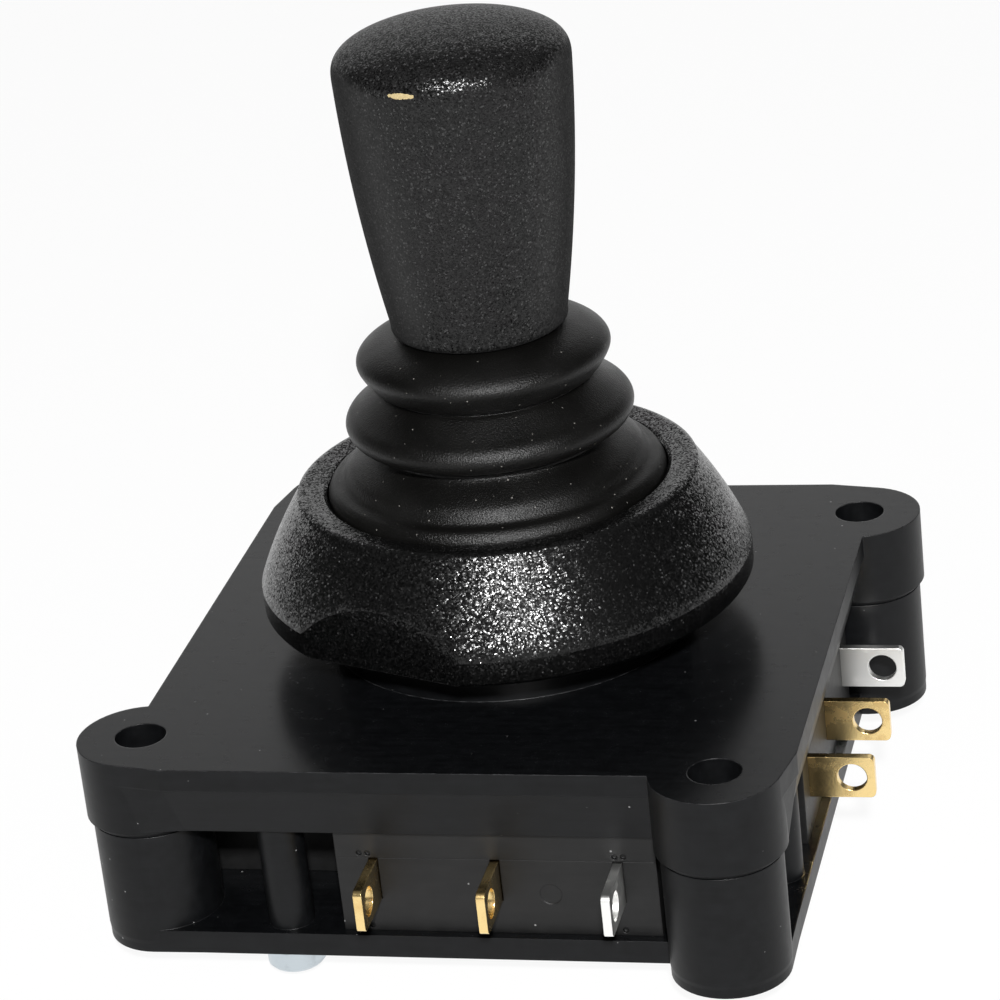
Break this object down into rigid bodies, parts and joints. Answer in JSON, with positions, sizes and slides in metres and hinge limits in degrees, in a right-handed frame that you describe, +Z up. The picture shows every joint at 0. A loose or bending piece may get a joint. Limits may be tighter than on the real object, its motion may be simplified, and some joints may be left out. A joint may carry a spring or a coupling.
{
  "type": "industrial joystick",
  "caption": "Panel-mount two-axis stick with a tapered black knob, rubber bellows, round bezel and a snap switch on each side of its square housing.",
  "frame": {"origin": "on the stick's axis, in the top face of the mounting plate, at the centre of the four mounting holes", "axes": "+Z up the stick, -Y towards the front side, whose switch has its gap on the left, +X to the right"},
  "size_m": [0.0676, 0.0676, 0.0769],
  "materials": {
    "housing": "satin moulded glass-filled plastic",
    "textured_black": "spark-eroded texture",
    "bellows_rubber": "matte moulded rubber",
    "switch_case": "satin phenolic",
    "switch_cover": "satin phenolic",
    "plunger_red": "moulded",
    "spring_bronze": "rolled strip",
    "gold_contact": "gold flashed strip",
    "silver_contact": "silver plated strip",
    "screw_zinc": "zinc plated",
    "gate_steel": "pressed sheet",
    "spring_steel": "drawn wire",
    "pin_steel": "ground",
    "shaft_steel": "ground bar",
    "acetal": "natural acetal",
    "insert_brass": "turned"
  },
  "bodies": {
    "housing": {"top_housing": "housing", "base_housing": "housing", "base_screws": "screw_zinc", "switch_pins": "pin_steel", "bezel": "textured_black", "bellows": "bellows_rubber", "gate_plate": "gate_steel", "centring_spring": "spring_steel", "trunnion_pins": "pin_steel", "front_switch_case": "switch_case", "front_switch_cover": "switch_cover", "front_switch_gold_terminals": "gold_contact", "front_switch_silver_terminal": "silver_contact", "right_switch_case": "switch_case", "right_switch_cover": "switch_cover", "right_switch_gold_terminals": "gold_contact", "right_switch_silver_terminal": "silver_contact", "rear_switch_case": "switch_case", "rear_switch_cover": "switch_cover", "rear_switch_gold_terminals": "gold_contact", "rear_switch_silver_terminal": "silver_contact", "left_switch_case": "switch_case", "left_switch_cover": "switch_cover", "left_switch_gold_terminals": "gold_contact", "left_switch_silver_terminal": "silver_contact"},
    "gimbal": {"gimbal_ring": "acetal", "cross_pin": "pin_steel"},
    "stick": {"pivot_hub": "acetal", "shaft": "shaft_steel", "spring_collar": "gate_steel", "knob": "textured_black", "knob_insert": "insert_brass", "actuator": "acetal", "retaining_clip": "gate_steel"},
    "front_plunger": {"front_switch_plunger": "plunger_red"},
    "front_blade": {"front_switch_blade": "spring_bronze"},
    "right_plunger": {"right_switch_plunger": "plunger_red"},
    "right_blade": {"right_switch_blade": "spring_bronze"},
    "rear_plunger": {"rear_switch_plunger": "plunger_red"},
    "rear_blade": {"rear_switch_blade": "spring_bronze"},
    "left_plunger": {"left_switch_plunger": "plunger_red"},
    "left_blade": {"left_switch_blade": "spring_bronze"}
  },
  "joints": [
    {"name": "tilt_fore_aft", "type": "hinge", "parent": "housing", "child": "gimbal", "pos_m": [0, 0, 0.003], "axis": [1, 0, 0], "range_deg": [-15, 15], "stiffness_Nm_per_rad": 1, "deforming": ["bellows", "centring_spring"]},
    {"name": "tilt_side", "type": "hinge", "parent": "gimbal", "child": "stick", "pos_m": [0, 0, 0.003], "axis": [0, 1, 0], "range_deg": [-15, 15], "stiffness_Nm_per_rad": 1, "deforming": ["bellows", "centring_spring"]},
    {"name": "front_plunger_press", "type": "slide", "parent": "housing", "child": "front_plunger", "axis": [0, -1, 0], "range_m": [-0.0006, 0.0006]},
    {"name": "right_plunger_press", "type": "slide", "parent": "housing", "child": "right_plunger", "axis": [1, 0, 0], "range_m": [-0.0006, 0.0006]},
    {"name": "rear_plunger_press", "type": "slide", "parent": "housing", "child": "rear_plunger", "axis": [0, 1, 0], "range_m": [-0.0006, 0.0006]},
    {"name": "left_plunger_press", "type": "slide", "parent": "housing", "child": "left_plunger", "axis": [-1, 0, 0], "range_m": [-0.0006, 0.0006]},
    {"name": "front_blade_swing", "type": "hinge", "parent": "housing", "child": "front_blade", "pos_m": [-0.00647, -0.01773, -0.0113], "axis": [0, 0, 1], "range_deg": [-2.5, 2.5]},
    {"name": "right_blade_swing", "type": "hinge", "parent": "housing", "child": "right_blade", "pos_m": [0.01773, -0.00647, -0.0113], "axis": [0, 0, 1], "range_deg": [-2.5, 2.5]},
    {"name": "rear_blade_swing", "type": "hinge", "parent": "housing", "child": "rear_blade", "pos_m": [0.00647, 0.01773, -0.0113], "axis": [0, 0, 1], "range_deg": [-2.5, 2.5]},
    {"name": "left_blade_swing", "type": "hinge", "parent": "housing", "child": "left_blade", "pos_m": [-0.01773, 0.00647, -0.0113], "axis": [0, 0, 1], "range_deg": [-2.5, 2.5]}
  ],
  "couplings": [
    {"joint": "front_plunger_press", "follows": "tilt_fore_aft", "m_per_rad": -0.00229},
    {"joint": "right_plunger_press", "follows": "tilt_side", "m_per_rad": -0.00229},
    {"joint": "rear_plunger_press", "follows": "tilt_fore_aft", "m_per_rad": 0.00229},
    {"joint": "left_plunger_press", "follows": "tilt_side", "m_per_rad": 0.00229},
    {"joint": "front_blade_swing", "follows": "tilt_fore_aft", "ratio": 0.16},
    {"joint": "right_blade_swing", "follows": "tilt_side", "ratio": 0.16},
    {"joint": "rear_blade_swing", "follows": "tilt_fore_aft", "ratio": -0.16},
    {"joint": "left_blade_swing", "follows": "tilt_side", "ratio": -0.16}
  ]
}
